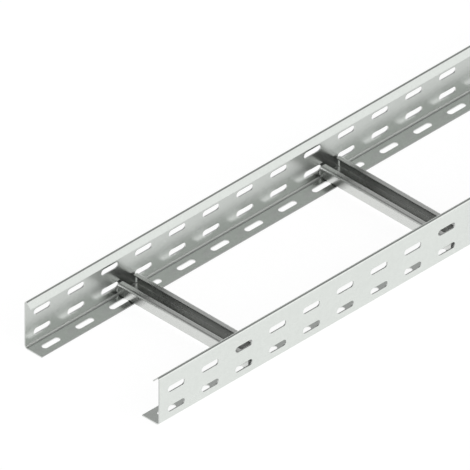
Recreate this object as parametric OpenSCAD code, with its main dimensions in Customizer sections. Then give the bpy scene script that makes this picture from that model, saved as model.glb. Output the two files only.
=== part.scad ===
// Cable ladder section: two slotted side rails joined by open-topped channel rungs.
// X runs along the ladder, Y across it and Z up. The origin is at the middle of the
// ladder's length and width, at the level of the floor that the rails stand on.

/* [Ladder] */
// Length of the section, which is the length of each side rail
ladder_len = 3000; // [600:50:6000]
// Width over the outer faces of the side rails
ladder_w = 200; // [120:10:600]
// Thickness of the galvanised sheet that rails and rungs are rolled from
sheet_t = 1.5; // [1:0.1:2]

/* [Side rail] */
// Height of a side rail
rail_h = 60; // [50:1:110]
// Width of the foot flange, which turns inward under the rungs
flange_w = 25.5; // [22:0.5:40]
// Inner radius of the bend between web and foot flange
foot_bend_r = 3; // [1:0.5:4]
// Inner radius of the bend at the top of the web
top_bend_r = 1; // [0.5:0.5:2]
// Slope of the stiffening lip along the top, in degrees below level
lip_slope = 45; // [30:5:70]
// Straight length of the stiffening lip
lip_len = 8; // [4:0.5:12]

/* [Slots] */
// Distance from one slot's middle to the next along a rail
slot_pitch = 50; // [40:5:100]
// Distance from the end of a rail to the middle of its first slot
slot_start = 25; // [15:1:40]
// Overall length of a slot
slot_len = 25; // [12:0.5:30]
// Width of a slot
slot_w = 7.5; // [5:0.5:9]
// Height of the lower row of web slots above the floor
web_row_z = 14.5; // [12:0.5:18]
// Distance from the lower row of web slots up to the upper row
web_row_gap = 25; // [15:1:28]
// Distance of the flange slots from the outer face of the rail
flange_row_y = 14.5; // [12:0.5:16]

/* [Rungs] */
// Distance from one rung's middle to the next
rung_pitch = 300; // [150:50:600]
// Distance from the end of the section to the middle of the first rung
rung_start = 150; // [50:10:300]
// Width of a rung along the ladder
rung_w = 30; // [26:1:60]
// Height of a rung
rung_h = 15; // [10:0.5:25]
// Width of the open mouth along the top of a rung
rung_mouth = 16; // [8:1:20]
// Inner radius of the bends of a rung
rung_bend_r = 1; // [0.5:0.5:2]
// Gap between a rung's end and the web beside it
rung_gap = 2; // [0.5:0.5:3]
// Room that a rung's rounded lower end leaves over the foot bend that it runs onto
corner_clearance = 0.5; // [0.2:0.1:1]

/* [Hidden] */
$fn = 32;
// Length by which a cutter stands out of the sheet that it cuts
cut_over = 1;
// How far the lip's flats lie inside the arcs of its bend, so that each pair crosses once
lip_inset = 0.01;
// Angle by which the top bend runs on inside the lip
lip_overlap = 20;
foot_r = foot_bend_r + sheet_t;
top_r = top_bend_r + sheet_t;
rung_r = rung_bend_r + sheet_t;
// A rung stops short of both webs
rung_len = ladder_w - 2 * (sheet_t + rung_gap);
rung_corner_r = max(foot_bend_r - rung_gap, 0) + corner_clearance;
slot_count = floor((ladder_len - 2 * slot_start) / slot_pitch) + 1;
rung_count = floor((ladder_len - 2 * rung_start) / rung_pitch) + 1;

function rung_name(i) = str("rung_", i < 10 ? "0" : "", i);

// Slice of a disc about its own centre, from one angle through a turn
module slice(r, from, turn) {
    steps = 3;
    reach = 2 * r;
    intersection() {
        circle(r);
        polygon(concat(
            [[0, 0]],
            [for (k = [0:steps]) reach * [cos(from + turn * k / steps), sin(from + turn * k / steps)]]
        ));
    }
}

// Section of a bend in the sheet about its own centre
module bend(inner_r, from, turn) {
    difference() {
        slice(inner_r + sheet_t, from, turn);
        circle(inner_r);
    }
}

// Outline of one slot with round ends, along its own X
module slot_outline() {
    square([slot_len - slot_w, slot_w], center = true);
    for (side = [-1, 1])
        translate([side * (slot_len - slot_w) / 2, 0])
            circle(d = slot_w);
}

// One row of slots along the rail, at a height in the outline's own plane
module slot_row(height) {
    for (i = [0:slot_count - 1])
        translate([slot_start + i * slot_pitch, height])
            slot_outline();
}

// Section of the top bend and the lip that slopes down from it, about the bend's centre
module lip_section() {
    difference() {
        union() {
            slice(top_r, 90 - lip_slope - lip_overlap, 90 + lip_slope + lip_overlap);
            rotate(-lip_slope)
                square([lip_len, top_r - lip_inset]);
        }
        circle(top_bend_r);
        rotate(-lip_slope)
            translate([0, -cut_over])
                square([lip_len + cut_over, top_bend_r - lip_inset + cut_over]);
    }
}

// Section of the right-hand rail: outer face at 0, inward to the right, floor at 0
module rail_section() {
    translate([0, foot_r])
        square([sheet_t, rail_h - foot_r - top_r]);
    translate([foot_r, foot_r])
        bend(foot_bend_r, 180, 90);
    translate([foot_r, 0])
        square([flange_w - foot_r, sheet_t]);
    translate([top_r, rail_h - top_r])
        lip_section();
}

// The right-hand rail from its end at 0: the section along X, less its three rows of slots
module side_rail() {
    difference() {
        rotate([90, 0, 90])
            linear_extrude(ladder_len)
                rail_section();
        translate([0, sheet_t + cut_over, 0])
            rotate([90, 0, 0])
                linear_extrude(sheet_t + 2 * cut_over) {
                    slot_row(web_row_z);
                    slot_row(web_row_z + web_row_gap);
                }
        translate([0, 0, -cut_over])
            linear_extrude(sheet_t + 2 * cut_over)
                slot_row(flange_row_y);
    }
}

module side_rail_right() {
    color("#d3d7d4")
        translate([-ladder_len / 2, -ladder_w / 2, 0])
            side_rail();
}

module side_rail_left() {
    color("#d3d7d4")
        mirror([0, 1, 0])
            translate([-ladder_len / 2, -ladder_w / 2, 0])
                side_rail();
}

// Section of a rung: middle at 0, floor at 0, open along its top between two lips
module rung_section() {
    flat = rung_w / 2 - rung_r;
    translate([-flat, 0])
        square([2 * flat, sheet_t]);
    for (side = [0, 1])
        mirror([side, 0]) {
            translate([flat, rung_r])
                bend(rung_bend_r, 270, 90);
            translate([rung_w / 2 - sheet_t, rung_r])
                square([sheet_t, rung_h - 2 * rung_r]);
            translate([flat, rung_h - rung_r])
                bend(rung_bend_r, 0, 90);
            translate([rung_mouth / 2, rung_h - sheet_t])
                square([flat - rung_mouth / 2, sheet_t]);
        }
}

// What a rung's lower end corner loses, so that it clears the foot bend
module corner_relief() {
    difference() {
        translate([0, -cut_over - rung_corner_r])
            square(rung_corner_r + cut_over);
        circle(rung_corner_r);
    }
}

// A rung standing on the two foot flanges, a gap away from each web
module rung(i) {
    color("#c4c8c5")
        translate([rung_start + (i - 1) * rung_pitch - ladder_len / 2, 0, sheet_t])
            difference() {
                rotate([90, 0, 0])
                    linear_extrude(rung_len, center = true)
                        rung_section();
                for (side = [0, 1])
                    mirror([0, side, 0])
                        translate([0, rung_len / 2 - rung_corner_r, rung_corner_r])
                            rotate([90, 0, 90])
                                linear_extrude(rung_w + 2 * cut_over, center = true)
                                    corner_relief();
            }
}

side_rail_left();
side_rail_right();
for (i = [1:rung_count])
    rung(i);
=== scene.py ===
"""Cable ladder section in galvanised steel: sheet finish, spot welds, floor, light and camera.

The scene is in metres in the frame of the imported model: X along the ladder, Y across it to
the left rail, Z up from the floor. The sheet's sizes are in millimetres, and so are the
coordinates that its finish is worked out from.
"""

from functools import partial

import bpy
import numpy as np
from mathutils import Matrix, Vector


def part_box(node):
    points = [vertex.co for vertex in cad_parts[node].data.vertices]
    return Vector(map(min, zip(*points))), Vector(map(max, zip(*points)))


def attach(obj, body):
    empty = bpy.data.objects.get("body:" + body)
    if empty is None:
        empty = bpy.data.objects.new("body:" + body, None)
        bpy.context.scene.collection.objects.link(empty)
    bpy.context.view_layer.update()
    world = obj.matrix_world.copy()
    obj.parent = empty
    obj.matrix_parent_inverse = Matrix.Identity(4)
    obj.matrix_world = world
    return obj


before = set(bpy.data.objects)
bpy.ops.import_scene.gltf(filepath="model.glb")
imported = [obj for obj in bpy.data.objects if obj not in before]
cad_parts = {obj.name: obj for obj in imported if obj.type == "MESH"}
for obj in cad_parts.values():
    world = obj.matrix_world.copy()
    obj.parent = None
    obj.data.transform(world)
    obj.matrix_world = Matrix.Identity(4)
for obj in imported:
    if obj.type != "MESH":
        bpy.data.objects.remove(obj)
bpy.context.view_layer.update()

MM = 0.001
BODY = "root"
RAILS = ("side_rail_left", "side_rail_right")
RUNGS = sorted(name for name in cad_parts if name.startswith("rung_"))
RAIL_TOP_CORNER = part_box("side_rail_left")[1]
RUNG_LOW, RUNG_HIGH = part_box(RUNGS[0])

# The rolled sheet of rails and rungs, in mm
SHEET = 1.5
# A cut face is told from the sheet's two faces by lying this far inside both
SKIN = 0.01

# Side rail, in mm, from the ladder's middle, the rail's outer face or the floor
HALF_LENGTH = RAIL_TOP_CORNER[0] / MM
HALF_WIDTH = RAIL_TOP_CORNER[1] / MM
RAIL_H = RAIL_TOP_CORNER[2] / MM
FLANGE_W = 25.5
FLANGE_EDGE = HALF_WIDTH - FLANGE_W
# Outer radii of the two bends
FOOT_BEND_R = 4.5
TOP_BEND_R = 2.5
# Straight length of the lip, which slopes at 45 degrees
LIP_LEN = 8.0
SLOT_PITCH = 50.0
SLOT_LEN = 25.0
SLOT_W = 7.5
WEB_ROWS = (14.5, 39.5)
FLANGE_ROW = 14.5

# Rung, in mm
RUNG_PITCH = (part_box(RUNGS[1])[0][0] - RUNG_LOW[0]) / MM
RUNG_HALF_W = (RUNG_HIGH[0] - RUNG_LOW[0]) / MM / 2
RUNG_FOOT = RUNG_LOW[2] / MM
RUNG_TOP = RUNG_HIGH[2] / MM
RUNG_BEND_R = 2.5
MOUTH_HALF = 8.0

# Spot welds, in mm: two at each end of a rung, on the line of the flange's slots, and each
# at this distance from the rung's middle
SPOT_OFFSET = 5.0
SPOT_ROW = HALF_WIDTH - FLANGE_ROW
# Radius of the raised lip round a mark, and how far past it the sheet is tinted
SPOT_R = 2.6
SPOT_TINT = 4.0
# Height of the mark's dish over the rung's floor, then the lip's height over the dish and
# its width
SPOT_FLOOR = 0.03
SPOT_LIP = 0.16
SPOT_LIP_W = 0.45
# Depth of the mark's underside in the rung's floor
SPOT_SINK = 0.05
# Rings and sides of a mark's mesh
SPOT_RINGS = 10
SPOT_SIDES = 24


# Nodes and colours

def linear(hex_colour):
    """Linear RGBA of an sRGB hex colour."""
    parts = [int(hex_colour[k:k + 2], 16) / 255 for k in (1, 3, 5)]
    return [p / 12.92 if p <= 0.04045 else ((p + 0.055) / 1.055) ** 2.4 for p in parts] + [1.0]


def add(tree, kind, settings=(), out=0, **sockets):
    """Add a node with its settings and its inputs, and give back one of its outputs.

    An input is named by its position, as in i0 or i1, and is a value or another node's
    output. With out=None the node itself comes back.
    """
    made = tree.nodes.new("ShaderNode" + kind)
    for name, value in dict(settings).items():
        setattr(made, name, value)
    for key, value in sockets.items():
        socket = made.inputs[int(key[1:])]
        if isinstance(value, bpy.types.NodeSocket):
            tree.links.new(value, socket)
        else:
            socket.default_value = value
    return made if out is None else made.outputs[out]


ADD = {"operation": "ADD"}
SUBTRACT = {"operation": "SUBTRACT"}
MULTIPLY = {"operation": "MULTIPLY"}
MULTIPLY_ADD = {"operation": "MULTIPLY_ADD"}
POWER = {"operation": "POWER"}
LESSER = {"operation": "MINIMUM"}
GREATER = {"operation": "MAXIMUM"}
IS_UNDER = {"operation": "LESS_THAN"}
IS_OVER = {"operation": "GREATER_THAN"}
IS_NEAR = {"operation": "COMPARE"}
SIZE = {"operation": "ABSOLUTE"}
WRAP = {"operation": "WRAP"}
SCALE = {"operation": "SCALE"}
LENGTH = {"operation": "LENGTH"}
DOT = {"operation": "DOT_PRODUCT"}
SMOOTH = {"interpolation_type": "SMOOTHSTEP"}
COLOURS = {"data_type": "RGBA"}
NUMBERS = {"data_type": "FLOAT"}


def new_steel(name):
    """An empty metal: its material, its tree, its shader and the tree's own way to add a node."""
    material = bpy.data.materials.new(name)
    material.use_nodes = True
    tree = material.node_tree
    shader = tree.nodes["Principled BSDF"]
    shader.inputs["Metallic"].default_value = 1.0
    return material, tree, shader, partial(add, tree)


# Where the sheet is cut, punched, folded and welded

# Band round a slot or along a rung's mouth that the tool drew down, in mm
RIM_W = 0.9
# How near a point lies to the lip's end and to the fold's inner face to be on them, in mm
LIP_END_BAND = 0.1
FOLD_BAND = 0.3
# Top of the creased band on the fold's inner face, in mm
FOLD_TOP = 3.2


def position(node):
    """Object coordinates in mm: the whole vector, then x, |y| and z."""
    place = node("VectorMath", SCALE, i0=node("TexCoord", out="Object"), i3=1 / MM)
    axes = node("SeparateXYZ", out=None, i0=place).outputs
    return place, axes["X"], node("Math", SIZE, i0=axes["Y"]), axes["Z"]


def from_nearest(node, x, pitch):
    """Distance along the ladder from the nearest of the middles that lie a pitch apart."""
    along = node("Math", WRAP, i0=x, i1=pitch, i2=0.0)
    return node("Math", SIZE, i0=node("Math", SUBTRACT, i0=along, i1=pitch / 2))


def distance(node, a, b):
    """Length of the line whose two legs are a and b."""
    return node("VectorMath", LENGTH, out="Value", i0=node("CombineXYZ", i0=a, i1=b))


def weld_tint(node, x, across):
    """1 on a spot weld between rung and flange, fading to 0 through the tinted rim round it."""
    along = node("Math", SUBTRACT, i0=from_nearest(node, x, RUNG_PITCH), i1=SPOT_OFFSET)
    reach = distance(node, along, across)
    return node("MapRange", SMOOTH, i0=reach, i1=SPOT_R, i2=SPOT_R + SPOT_TINT, i3=1.0, i4=0.0)


def rail_cuts(node, x, inward, z):
    """1 on a rail's cut faces.

    The web's two faces are 0 and one sheet inward of the rail's outer face, so what lies
    between them is a punched wall. The same holds for the flange between its two faces, and
    the lip and the whole rail are cut where they end.
    """
    half = SHEET / 2 - SKIN
    web_ends = (FOOT_BEND_R, RAIL_H - TOP_BEND_R)
    on_web = node("Math", IS_NEAR, i0=z, i1=sum(web_ends) / 2, i2=(web_ends[1] - web_ends[0]) / 2)
    in_web = node("Math", IS_NEAR, i0=inward, i1=SHEET / 2, i2=half)
    cut_web = node("Math", MULTIPLY, i0=on_web, i1=in_web)
    in_flange = node("Math", IS_NEAR, i0=z, i1=SHEET / 2, i2=half)
    on_flange = node("Math", IS_OVER, i0=inward, i1=FOOT_BEND_R)
    cut_flange = node("Math", MULTIPLY, i0=in_flange, i1=on_flange)
    down = node("Math", SUBTRACT, i0=RAIL_H, i1=z)
    diagonal = 0.5 ** 0.5
    run = node("Math", MULTIPLY_ADD, i0=node("Math", ADD, i0=down, i1=inward), i1=diagonal,
               i2=-2 * TOP_BEND_R * diagonal)
    at_lip_end = node("Math", IS_NEAR, i0=run, i1=LIP_LEN, i2=LIP_END_BAND)
    on_lip = node("Math", IS_NEAR, i0=inward, i1=down, i2=2 * TOP_BEND_R)
    cut_lip = node("Math", MULTIPLY, i0=at_lip_end, i1=on_lip)
    cut_end = node("Math", IS_OVER, i0=node("Math", SIZE, i0=x), i1=HALF_LENGTH - SKIN)
    return node("Math", GREATER, i0=node("Math", GREATER, i0=cut_web, i1=cut_flange),
                i1=node("Math", GREATER, i0=cut_lip, i1=cut_end))


def slot_rims(node, x, off_flange_row, low, z):
    """1 at the edge of the nearest slot in web or flange, fading to 0 over the rim's width."""
    rows_middle = sum(WEB_ROWS) / 2
    off_middle = node("Math", SIZE, i0=node("Math", SUBTRACT, i0=z, i1=rows_middle))
    off_web_row = node("Math", SUBTRACT, i0=off_middle, i1=WEB_ROWS[1] - rows_middle)
    across = node("Mix", NUMBERS, i0=low, i2=off_web_row, i3=off_flange_row)
    half_straight = (SLOT_LEN - SLOT_W) / 2
    along = node("Math", SUBTRACT, i0=from_nearest(node, x, SLOT_PITCH), i1=half_straight)
    past_straight = node("Math", GREATER, i0=along, i1=0.0)
    from_slot = distance(node, past_straight, across)
    edge = SLOT_W / 2
    return node("MapRange", SMOOTH, i0=from_slot, i1=edge, i2=edge + RIM_W, i3=1.0, i4=0.0)


def inner_fold(node, inward, z):
    """1 on the lower part of the foot bend's inner face, where the zinc is creased and rougher, and
    where shade is painted into its colour.
    """
    fold_across = node("Math", SUBTRACT, i0=inward, i1=FOOT_BEND_R)
    fold_up = node("Math", SUBTRACT, i0=z, i1=FOOT_BEND_R)
    from_axis = distance(node, fold_across, fold_up)
    inner_face = node("Math", IS_NEAR, i0=from_axis, i1=FOOT_BEND_R - SHEET, i2=FOLD_BAND)
    before_flange = node("Math", IS_UNDER, i0=inward, i1=FOOT_BEND_R)
    under_web = node("Math", IS_UNDER, i0=z, i1=FOLD_TOP)
    on_bend = node("Math", MULTIPLY, i0=before_flange, i1=under_web)
    return node("Math", MULTIPLY, i0=on_bend, i1=inner_face)


def rail_marks(node, x, y, z):
    """Where a rail is cut, how deep in its sheet, near a slot's rim, in the fold or at a weld."""
    inward = node("Math", SUBTRACT, i0=HALF_WIDTH, i1=y)
    off_flange_row = node("Math", SUBTRACT, i0=inward, i1=FLANGE_ROW)
    low = node("Math", IS_UNDER, i0=z, i1=FOOT_BEND_R)
    cut = rail_cuts(node, x, inward, z)
    depth = node("Math", LESSER, i0=inward, i1=z)
    rim = slot_rims(node, x, off_flange_row, low, z)
    fold = inner_fold(node, inward, z)
    weld = node("Math", MULTIPLY, i0=weld_tint(node, x, off_flange_row), i1=low)
    return cut, depth, rim, fold, weld


def rung_marks(node, x, y, z):
    """The same for a rung, which is cut along its mouth and at both ends of each wall and floor."""
    half = SHEET / 2 - SKIN
    off = from_nearest(node, x, RUNG_PITCH)
    in_mouth = node("Math", IS_UNDER, i0=off, i1=MOUTH_HALF + SKIN)
    on_lip = node("Math", IS_OVER, i0=z, i1=RUNG_TOP - SHEET - SKIN)
    cut_mouth = node("Math", MULTIPLY, i0=in_mouth, i1=on_lip)
    in_wall = node("Math", IS_NEAR, i0=off, i1=RUNG_HALF_W - SHEET / 2, i2=half)
    on_wall = node("Math", IS_NEAR, i0=z, i1=(RUNG_FOOT + RUNG_TOP) / 2,
                   i2=(RUNG_TOP - RUNG_FOOT) / 2 - RUNG_BEND_R)
    cut_wall = node("Math", MULTIPLY, i0=in_wall, i1=on_wall)
    in_floor = node("Math", IS_NEAR, i0=z, i1=RUNG_FOOT + SHEET / 2, i2=half)
    on_floor = node("Math", IS_UNDER, i0=off, i1=RUNG_HALF_W - RUNG_BEND_R)
    cut_floor = node("Math", MULTIPLY, i0=in_floor, i1=on_floor)
    cut = node("Math", GREATER, i0=cut_mouth, i1=node("Math", GREATER, i0=cut_wall, i1=cut_floor))
    depth = node("Math", SUBTRACT, i0=RUNG_TOP, i1=z)
    rim = node("MapRange", SMOOTH, i0=off, i1=MOUTH_HALF, i2=MOUTH_HALF + RIM_W, i3=1.0, i4=0.0)
    rim = node("Math", MULTIPLY, i0=rim, i1=on_lip)
    across = node("Math", SUBTRACT, i0=y, i1=SPOT_ROW)
    low = node("Math", IS_UNDER, i0=z, i1=RUNG_FOOT + SHEET + SKIN)
    weld = node("Math", MULTIPLY, i0=weld_tint(node, x, across), i1=low)
    return cut, depth, rim, 0.0, weld


# Galvanised sheet: the sizes of its patterns in mm

# Flat zinc crystals of a minimised spangle are 1 mm or less, and are drawn 3 mm wide to show
SPANGLE = 3.0
# Lines of the finishing roll are some 0.1 mm apart, and are drawn 1.2 mm apart and 90 mm
# long to show
ROLL_LINE = 1.2
ROLL_LENGTH = 90.0
# Clouds of the first white rust and of handling, as wide as a hand
CLOUD = 70.0
# A torn cut face has the grain of the steel, drawn as coarse as needed to show
TORN_GRAIN = 0.4
# Layers of finer detail in each pattern
ROLL_DETAIL = 2.0
CLOUD_DETAIL = 3.0
TORN_DETAIL = 3.0

# How much of the sheet's tone each pattern takes, and how far a weld's tint and the fold's painted
# shade darken it
SPANGLE_TONE = 0.035
ROLL_TONE = 0.03
CLOUD_TONE = 0.05
# Painted shade in the fold and the heat tint round a weld both take the sheet towards this grey
SHADE_AND_TINT_SHARE = 0.4
FOLD_SHADE_AND_WELD_TINT = "#b4b6b2"
BARE_STEEL = "#dbdddb"

# Heights of the relief, in mm
SPANGLE_DEPTH = 0.003
ROLL_DEPTH = 0.006
RIM_DEPTH = 0.05
TORN_DEPTH = 0.06

# What each pattern and a weld's tint add to the roughness, and what the punch takes off it
# at a rim
PATCH_ROUGH = 0.05
SPANGLE_ROUGH = 0.02
TINT_ROUGH = 0.08
RIM_POLISH = 0.05
# The zinc cracks in the fold's inner face and scatters light there
FOLD_ROUGH = 0.30

# Share of the sheet's thickness that the punch shears before the rest tears, and half the
# width of the change from one to the other
SHEARED = 0.4
TEAR_EDGE = 0.05
SHEARED_ROUGH = 0.26
TORN_ROUGH = 0.42


def galvanised_sheet(name, colour, roughness, rolled, marks):
    """Mild steel strip that was dipped in zinc before it was rolled to its section.

    The zinc gives a satin grey with a slight green cast. In it lie small flat crystals, faint
    lines along the rolled length and cloudy patches from handling. Where the strip was sheared
    or punched, bare steel shows: a bright sheared band where the tool went in, then a torn one.
    The strip was rolled along the axis whose number is given: 0 for X, 1 for Y.
    """
    material, tree, shader, node = new_steel(name)
    place, x, y, z = position(node)
    cut, depth, rim, fold, weld = marks(node, x, y, z)

    spangle = node("SeparateColor", i0=node("TexVoronoi", out="Color", i0=place, i2=1 / SPANGLE))
    stretch = [1 / ROLL_LINE] * 3
    stretch[rolled] = 1 / ROLL_LENGTH
    stretched = node("VectorMath", MULTIPLY, i0=place, i1=stretch)
    lines = node("TexNoise", i0=stretched, i2=1.0, i3=ROLL_DETAIL)
    clouds = node("TexNoise", i0=place, i2=1 / CLOUD, i3=CLOUD_DETAIL)

    mean_tone = 1 - (SPANGLE_TONE + ROLL_TONE + CLOUD_TONE) / 2
    tone = node("Math", MULTIPLY_ADD, i0=spangle, i1=SPANGLE_TONE, i2=mean_tone)
    tone = node("Math", MULTIPLY_ADD, i0=lines, i1=ROLL_TONE, i2=tone)
    tone = node("Math", MULTIPLY_ADD, i0=clouds, i1=CLOUD_TONE, i2=tone)
    zinc = node("VectorMath", SCALE, i0=linear(colour)[:3], i3=tone)
    # Painted shade: the fold's inner face is darkened as if shade fell in the crease; round a weld
    # the same grey is its heat tint
    painted_shade_and_tint = node("Math", MULTIPLY, i0=node("Math", GREATER, i0=weld, i1=fold), i1=SHADE_AND_TINT_SHARE)
    shaded_and_tinted_zinc = node("Mix", COLOURS, out=2, i0=painted_shade_and_tint, i6=zinc, i7=linear(FOLD_SHADE_AND_WELD_TINT))
    shade = node("Mix", COLOURS, out=2, i0=cut, i6=shaded_and_tinted_zinc, i7=linear(BARE_STEEL))
    tree.links.new(shade, shader.inputs["Base Color"])

    torn = node("MapRange", i0=depth, i1=SHEET * (SHEARED - TEAR_EDGE),
                i2=SHEET * (SHEARED + TEAR_EDGE), i3=0.0, i4=1.0)
    cut_rough = node("MapRange", i0=torn, i1=0.0, i2=1.0, i3=SHEARED_ROUGH, i4=TORN_ROUGH)
    satin = node("Math", MULTIPLY_ADD, i0=node("Math", ADD, i0=lines, i1=clouds), i1=PATCH_ROUGH,
                 i2=roughness - PATCH_ROUGH)
    satin = node("Math", MULTIPLY_ADD, i0=spangle, i1=SPANGLE_ROUGH, i2=satin)
    satin = node("Math", MULTIPLY_ADD, i0=weld, i1=TINT_ROUGH, i2=satin)
    satin = node("Math", MULTIPLY_ADD, i0=fold, i1=FOLD_ROUGH, i2=satin)
    satin = node("Math", MULTIPLY_ADD, i0=rim, i1=-RIM_POLISH, i2=satin)
    gloss = node("Mix", NUMBERS, i0=cut, i2=satin, i3=cut_rough)
    tree.links.new(gloss, shader.inputs["Roughness"])

    grit = node("TexNoise", i0=place, i2=1 / TORN_GRAIN, i3=TORN_DETAIL)
    tear = node("Math", MULTIPLY, i0=node("Math", MULTIPLY, i0=cut, i1=torn), i1=grit)
    height = node("Math", MULTIPLY, i0=spangle, i1=SPANGLE_DEPTH)
    height = node("Math", MULTIPLY_ADD, i0=lines, i1=ROLL_DEPTH, i2=height)
    height = node("Math", MULTIPLY_ADD, i0=rim, i1=-RIM_DEPTH, i2=height)
    height = node("Math", MULTIPLY_ADD, i0=tear, i1=TORN_DEPTH, i2=height)
    tree.links.new(node("Bump", i0=1.0, i1=MM, i3=height), shader.inputs["Normal"])
    return material


# Spot welds

# The grain of the weld's metal in mm, the part of the noise's range that it uses, and its
# lowest and highest tone and roughness and its relief in mm
WELD_GRAIN = 0.6
WELD_DETAIL = 3.0
WELD_NOISE = (0.3, 0.7)
WELD_TONE = (0.92, 1.04)
WELD_ROUGHNESS = (0.30, 0.40)
WELD_RELIEF = 0.03
WELD_COLOUR = "#dcdfdc"


def spot_weld_marks():
    """The dished marks that the electrodes leave on the rungs' floors, two at each end of a rung.

    A mark is a turned surface. At the distance r from its middle it stands above the floor by
        h(r) = a + b exp(-((r - R) / w)^2),
    with R the radius of its raised lip, a the height of its dish, b that of the lip over it
    and w the lip's width. Its edge and underside lie just under the floor's face, so the mark
    is closed.
    """
    middles = np.array([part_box(name)[0][0] for name in RUNGS]) / MM + RUNG_HALF_W
    rows = np.array([-1, 1]) * SPOT_ROW
    columns = (middles[:, None] + np.array([-SPOT_OFFSET, SPOT_OFFSET])).ravel()
    centre_x, centre_y = (grid.ravel() for grid in np.meshgrid(columns, rows))

    r = np.linspace(0, SPOT_R + 2 * SPOT_LIP_W, SPOT_RINGS)[1:]
    h = SPOT_FLOOR + SPOT_LIP * np.exp(-((r - SPOT_R) / SPOT_LIP_W) ** 2)
    h[-1] = -SPOT_SINK
    turn = np.linspace(0, 2 * np.pi, SPOT_SIDES, endpoint=False)
    face_z = RUNG_FOOT + SHEET
    ring_x = r[:, None] * np.cos(turn)
    ring_y = r[:, None] * np.sin(turn)
    ring_z = np.repeat(face_z + h[:, None], SPOT_SIDES, axis=1)
    rings = np.stack([ring_x, ring_y, ring_z], axis=2).reshape(-1, 3)
    poles = np.array([(0, 0, face_z + SPOT_FLOOR), (0, 0, face_z - SPOT_SINK)])
    mark = np.concatenate([rings, poles])
    points = mark[None] + np.stack([centre_x, centre_y, 0 * centre_x], axis=1)[:, None]

    side = np.arange(SPOT_SIDES)
    after = (side + 1) % SPOT_SIDES
    ring = np.arange(len(r) - 1)[:, None] * SPOT_SIDES
    corners = [ring + side, ring + SPOT_SIDES + side, ring + SPOT_SIDES + after, ring + after]
    quads = np.stack(corners, axis=2).reshape(-1, 4)
    top = len(rings)
    under = top + 1
    last = (len(r) - 1) * SPOT_SIDES
    dish = np.stack([np.full(SPOT_SIDES, top), side, after], axis=1)
    underside = np.stack([np.full(SPOT_SIDES, under), last + after, last + side], axis=1)
    fans = np.concatenate([dish, underside])
    start = (np.arange(len(centre_x)) * len(mark))[:, None, None]
    all_quads = (quads[None] + start).reshape(-1, 4).tolist()
    all_fans = (fans[None] + start).reshape(-1, 3).tolist()
    mesh = bpy.data.meshes.new("spot_weld_marks")
    mesh.from_pydata(points.reshape(-1, 3) * MM, [], all_quads + all_fans)
    mesh.polygons.foreach_set("use_smooth", np.ones(len(mesh.polygons), bool))
    return mesh


def weld_metal():
    """Zinc and steel that ran together under the electrode: a duller patch with fine grain."""
    material, tree, shader, node = new_steel("spot_weld_metal")
    grain = node("TexNoise", i0=position(node)[0], i2=1 / WELD_GRAIN, i3=WELD_DETAIL)
    low, high = WELD_NOISE
    tone = node("MapRange", i0=grain, i1=low, i2=high, i3=WELD_TONE[0], i4=WELD_TONE[1])
    shade = node("VectorMath", SCALE, i0=linear(WELD_COLOUR)[:3], i3=tone)
    tree.links.new(shade, shader.inputs["Base Color"])
    rough = node("MapRange", i0=grain, i1=low, i2=high, i3=WELD_ROUGHNESS[0], i4=WELD_ROUGHNESS[1])
    tree.links.new(rough, shader.inputs["Roughness"])
    height = node("Math", MULTIPLY, i0=grain, i1=WELD_RELIEF)
    tree.links.new(node("Bump", i0=1.0, i1=MM, i3=height), shader.inputs["Normal"])
    return material


# Studio

WHITE = (1.0, 1.0, 1.0, 1.0)
# Half the floor's width in metres, and its paper's own colour, to which the glow is added
FLOOR_REACH = 9.0
PAPER = "#8a8a8a"
# Floor as the camera sees it, and as the metal's reflections show it
FLOOR_SEEN = 0.9
FLOOR_GLOW = 0.865
# Beside each flange the rail keeps light off the floor: a shadow painted into the floor's glow
# between the flanges, which only the metal's reflections show
SHADE = 0.75
# Between the rails reflections go through the floor to the ground below: all of them from the
# middle out to this distance in mm, and then fewer, down to a share at the flange's edge
CLEAR_END = 64.0
CLEAR_EDGE = 0.33
# That ground grows lighter from the picture's right to its left
GROUND_RIGHT = 0.76
GROUND_LEFT = 0.84
LEFTWARD = (-0.7, 0.7, 0.0)
GROUND_REACH = 0.8
# Light that has gone from sheet to sheet counts for less at each turn, as in the deep corners
BOUNCE_KEEP = 0.56
LOSS_POWER = 1.5
# Sky: bright all round, and dim overhead and towards the ladder's left. The dim part is
# darkest at the zenith, and a little lighter beyond the ladder's near end
BRIGHT = 1.16
DIM_AXIS = (-0.15, 0.5, 1.0)
DIM_FROM = 0.05
DIM_FULL = 0.65
DIM_ZENITH = 0.0
DIM_LOW = 0.67
DIM_LOW_HEIGHT = 0.3
NEAR_END = (-1.0, 0.0, 0.0)
NEAR_END_GAIN = 0.12

# The photo's frame in px, its scale, and where the right-hand rail's lowest near corner is
IMAGE_PX = 470
PX_PER_M = 955.47
CORNER_PX = (159.48, 425.92)
# The camera's distance from the middle of its view, in metres
CAMERA_BACK = 3.0


def bounce_loss(node, depth):
    """What the light keeps: all of it after one reflection, and less after each one more."""
    past = node("Math", GREATER, i0=node("Math", SUBTRACT, i0=depth, i1=1.0), i1=0.0)
    past = node("Math", POWER, i0=past, i1=LOSS_POWER)
    return node("Math", POWER, i0=BOUNCE_KEEP, i1=past)


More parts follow.
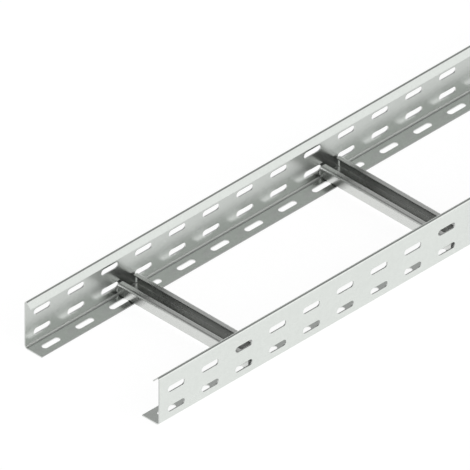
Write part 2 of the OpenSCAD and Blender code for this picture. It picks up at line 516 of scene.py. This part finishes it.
def white_floor(reach):
    """A plain white floor under the whole section, which keeps a faint shadow."""
    corners = reach * np.array([(-1, -1, 0), (1, -1, 0), (1, 1, 0), (-1, 1, 0)], float)
    mesh = bpy.data.meshes.new("floor")
    mesh.from_pydata(corners.tolist(), [], [(0, 1, 2, 3)])
    floor = bpy.data.objects.new("floor", mesh)
    bpy.context.scene.collection.objects.link(floor)
    material = bpy.data.materials.new("white_paper_floor")
    material.use_nodes = True
    tree = material.node_tree
    tree.nodes.clear()
    node = partial(add, tree)
    path = node("LightPath", out=None).outputs
    y = position(node)[2]
    between = node("Math", IS_UNDER, i0=y, i1=FLANGE_EDGE)
    # Painted shadow: between the flanges the glow that reflections see is lowered by SHADE
    shaded = node("Mix", NUMBERS, i0=between, i2=FLOOR_GLOW, i3=FLOOR_GLOW * (1 - SHADE))
    mirrored = node("Math", GREATER, i0=path["Is Glossy Ray"], i1=path["Is Transmission Ray"])
    clear = node("MapRange", SMOOTH, i0=y, i1=CLEAR_END, i2=FLANGE_EDGE, i3=1.0, i4=CLEAR_EDGE)
    clear = node("Math", MULTIPLY, i0=node("Math", MULTIPLY, i0=clear, i1=between), i1=mirrored)
    glow = node("Math", MULTIPLY, i0=bounce_loss(node, path["Glossy Depth"]), i1=shaded)
    glow = node("Math", MULTIPLY, i0=glow, i1=mirrored)
    glow = node("Math", MULTIPLY_ADD, i0=path["Is Camera Ray"], i1=FLOOR_SEEN, i2=glow)
    paper = node("BsdfDiffuse", i0=linear(PAPER))
    light = node("Emission", i0=WHITE, i1=glow)
    white = node("AddShader", i0=paper, i1=light)
    opened = node("MixShader", i0=clear, i1=white, i2=node("BsdfTransparent"))
    node("OutputMaterial", out=None, i0=opened)
    mesh.materials.append(material)


def studio_sky():
    """White all round and dim overhead, as between soft boxes, with pale ground below.

    The camera sees it plain white.
    """
    world = bpy.data.worlds.new("studio")
    bpy.context.scene.world = world
    world.use_nodes = True
    tree = world.node_tree
    tree.nodes.clear()
    node = partial(add, tree)
    way = node("TexCoord", out="Generated")
    height = node("SeparateXYZ", out="Z", i0=way)
    dim = node("MapRange", i0=height, i1=1.0, i2=DIM_LOW_HEIGHT, i3=DIM_ZENITH, i4=DIM_LOW)
    endward = node("VectorMath", DOT, out="Value", i0=way, i1=NEAR_END)
    endward = node("Math", GREATER, i0=endward, i1=0.0)
    dim = node("Math", MULTIPLY_ADD, i0=endward, i1=NEAR_END_GAIN, i2=dim)
    axis = node("VectorMath", DOT, out="Value", i0=way, i1=DIM_AXIS)
    level = node("MapRange", SMOOTH, i0=axis, i1=DIM_FROM, i2=DIM_FULL, i3=BRIGHT, i4=dim)
    leftward = node("VectorMath", DOT, out="Value", i0=way, i1=LEFTWARD)
    ground = node("MapRange", i0=leftward, i1=-GROUND_REACH, i2=GROUND_REACH,
                  i3=GROUND_RIGHT, i4=GROUND_LEFT)
    below = node("Math", IS_UNDER, i0=height, i1=0.0)
    level = node("Mix", NUMBERS, i0=below, i2=level, i3=ground)
    path = node("LightPath", out=None).outputs
    level = node("Math", GREATER, i0=level, i1=path["Is Camera Ray"])
    strength = node("Math", MULTIPLY, i0=level, i1=bounce_loss(node, path["Glossy Depth"]))
    node("OutputWorld", out=None, i0=node("Background", i0=WHITE, i1=strength))


def camera_as_in_photo():
    """Isometric view over the near end from the ladder's right, level and without convergence."""
    right = Vector((1, -1, 0)).normalized()
    up = Vector((1, 1, 2)).normalized()
    back = Vector((-1, -1, 1)).normalized()
    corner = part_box("side_rail_right")[0]
    middle = corner + right * (IMAGE_PX / 2 - CORNER_PX[0]) / PX_PER_M \
        + up * (CORNER_PX[1] - IMAGE_PX / 2) / PX_PER_M
    data = bpy.data.cameras.new("camera")
    data.type = "ORTHO"
    data.ortho_scale = IMAGE_PX / PX_PER_M
    camera = bpy.data.objects.new("camera", data)
    bpy.context.scene.collection.objects.link(camera)
    turn = Matrix((right, up, back)).transposed().to_4x4()
    camera.matrix_world = Matrix.Translation(middle + back * CAMERA_BACK) @ turn
    bpy.context.scene.camera = camera


camera_as_in_photo()
studio_sky()
white_floor(FLOOR_REACH)

# The rails' zinc is the greener and a little glossier; the rungs' zinc is painted a little lighter,
# standing in for the light that falls on their lips and into their channels
rail_steel = galvanised_sheet("galvanised_rail_sheet", colour="#e3e7e3", roughness=0.24,
                              rolled=0, marks=rail_marks)
rung_steel = galvanised_sheet("galvanised_rung_sheet", colour="#e7e9e6", roughness=0.27,
                              rolled=1, marks=rung_marks)
for name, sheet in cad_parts.items():
    sheet.material_slots[0].material = rail_steel if name in RAILS else rung_steel

welds = bpy.data.objects.new("spot_weld_marks", spot_weld_marks())
bpy.context.scene.collection.objects.link(welds)
welds.data.materials.append(weld_metal())
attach(welds, BODY)

bpy.context.scene.view_settings.view_transform = "Standard"
